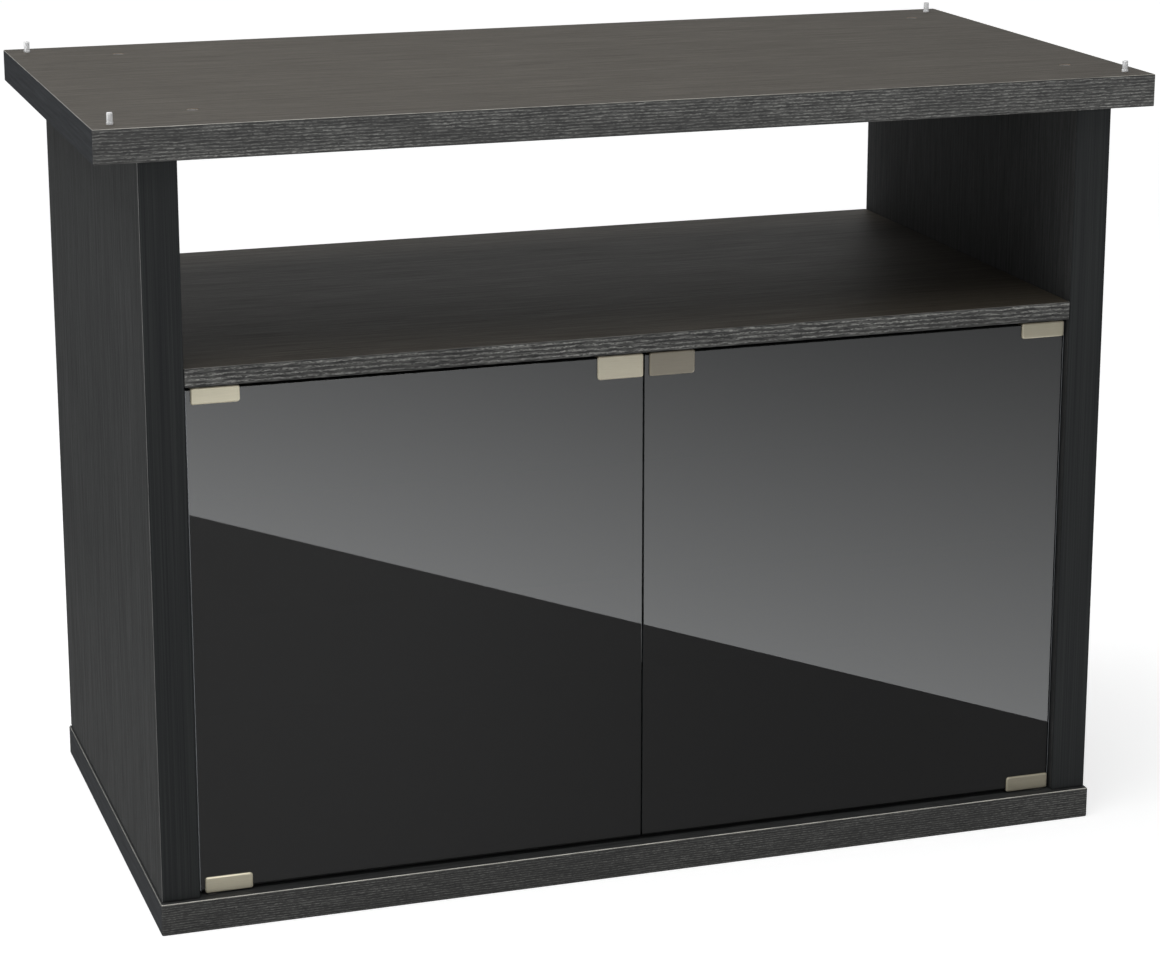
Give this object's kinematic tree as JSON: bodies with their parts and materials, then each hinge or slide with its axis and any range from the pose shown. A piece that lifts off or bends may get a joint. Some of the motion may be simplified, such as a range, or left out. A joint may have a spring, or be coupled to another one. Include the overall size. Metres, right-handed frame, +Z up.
{
  "type": "aquarium stand cabinet",
  "caption": "Dark board cabinet that carries an aquarium or terrarium, with an open niche over a cupboard closed by smoked glass doors on pivot clips and push latches.",
  "frame": {"origin": "on the floor, under the middle of the top board", "axes": "+X to the right seen from the front, along the width; +Y from the doors to the back; +Z up"},
  "size_m": [0.92, 0.46, 0.6895],
  "materials": {
    "board_veneer": "satin wood-grain foil on particle board, nearly black brown",
    "edge_strip": "satin plain edge banding, nearly black",
    "smoked_glass": "polished, dark smoke tint",
    "satin_nickel": "satin, warm nickel",
    "clear_plastic": "translucent white, glossy",
    "dark_plastic": "matt moulded plastic",
    "rubber_pad": "matt",
    "zinc_steel": "bright zinc plate"
  },
  "bodies": {
    "cabinet": {"base_board": "board_veneer", "top_board": "board_veneer", "side_panel_left": "board_veneer", "side_panel_right": "board_veneer", "niche_shelf": "board_veneer", "inner_shelf": "board_veneer", "back_panel": "board_veneer", "front_strip_left": "edge_strip", "front_strip_right": "edge_strip", "shelf_peg_front_left": "zinc_steel", "locating_pin_front_left": "clear_plastic", "cover_cap_front_left": "dark_plastic", "base_screw_front_left": "zinc_steel", "shelf_peg_front_right": "zinc_steel", "locating_pin_front_right": "clear_plastic", "cover_cap_front_right": "dark_plastic", "base_screw_front_right": "zinc_steel", "shelf_peg_back_left": "zinc_steel", "locating_pin_back_left": "clear_plastic", "cover_cap_back_left": "dark_plastic", "base_screw_back_left": "zinc_steel", "shelf_peg_back_right": "zinc_steel", "locating_pin_back_right": "clear_plastic", "cover_cap_back_right": "dark_plastic", "base_screw_back_right": "zinc_steel", "pivot_bush_top_left": "dark_plastic", "pivot_bush_bottom_left": "dark_plastic", "latch_housing_left": "dark_plastic", "latch_screw_left": "zinc_steel", "pivot_bush_top_right": "dark_plastic", "pivot_bush_bottom_right": "dark_plastic", "latch_housing_right": "dark_plastic", "latch_screw_right": "zinc_steel"},
    "door_left": {"door_glass_left": "smoked_glass", "hinge_clip_top_left": "satin_nickel", "hinge_pad_top_left": "rubber_pad", "hinge_screw_top_left": "zinc_steel", "hinge_clip_bottom_left": "satin_nickel", "hinge_pad_bottom_left": "rubber_pad", "hinge_screw_bottom_left": "zinc_steel", "catch_plate_left": "satin_nickel", "catch_pad_left": "rubber_pad", "catch_screw_left": "zinc_steel"},
    "latch_left": {"latch_plunger_left": "clear_plastic", "latch_magnet_left": "zinc_steel"},
    "door_right": {"door_glass_right": "smoked_glass", "hinge_clip_top_right": "satin_nickel", "hinge_pad_top_right": "rubber_pad", "hinge_screw_top_right": "zinc_steel", "hinge_clip_bottom_right": "satin_nickel", "hinge_pad_bottom_right": "rubber_pad", "hinge_screw_bottom_right": "zinc_steel", "catch_plate_right": "satin_nickel", "catch_pad_right": "rubber_pad", "catch_screw_right": "zinc_steel"},
    "latch_right": {"latch_plunger_right": "clear_plastic", "latch_magnet_right": "zinc_steel"}
  },
  "joints": [
    {"name": "door_left_hinge", "type": "hinge", "parent": "cabinet", "child": "door_left", "pos_m": [-0.3804, -0.20995, 0.031], "axis": [0, 0, -1], "range_deg": [0, 105]},
    {"name": "door_right_hinge", "type": "hinge", "parent": "cabinet", "child": "door_right", "pos_m": [0.3804, -0.20995, 0.031], "axis": [0, 0, 1], "range_deg": [0, 105]},
    {"name": "latch_left_press", "type": "slide", "parent": "cabinet", "child": "latch_left", "axis": [0, 1, 0], "range_m": [0, 0.0025], "stiffness_N_per_m": 1500},
    {"name": "latch_right_press", "type": "slide", "parent": "cabinet", "child": "latch_right", "axis": [0, 1, 0], "range_m": [0, 0.0025], "stiffness_N_per_m": 1500}
  ]
}
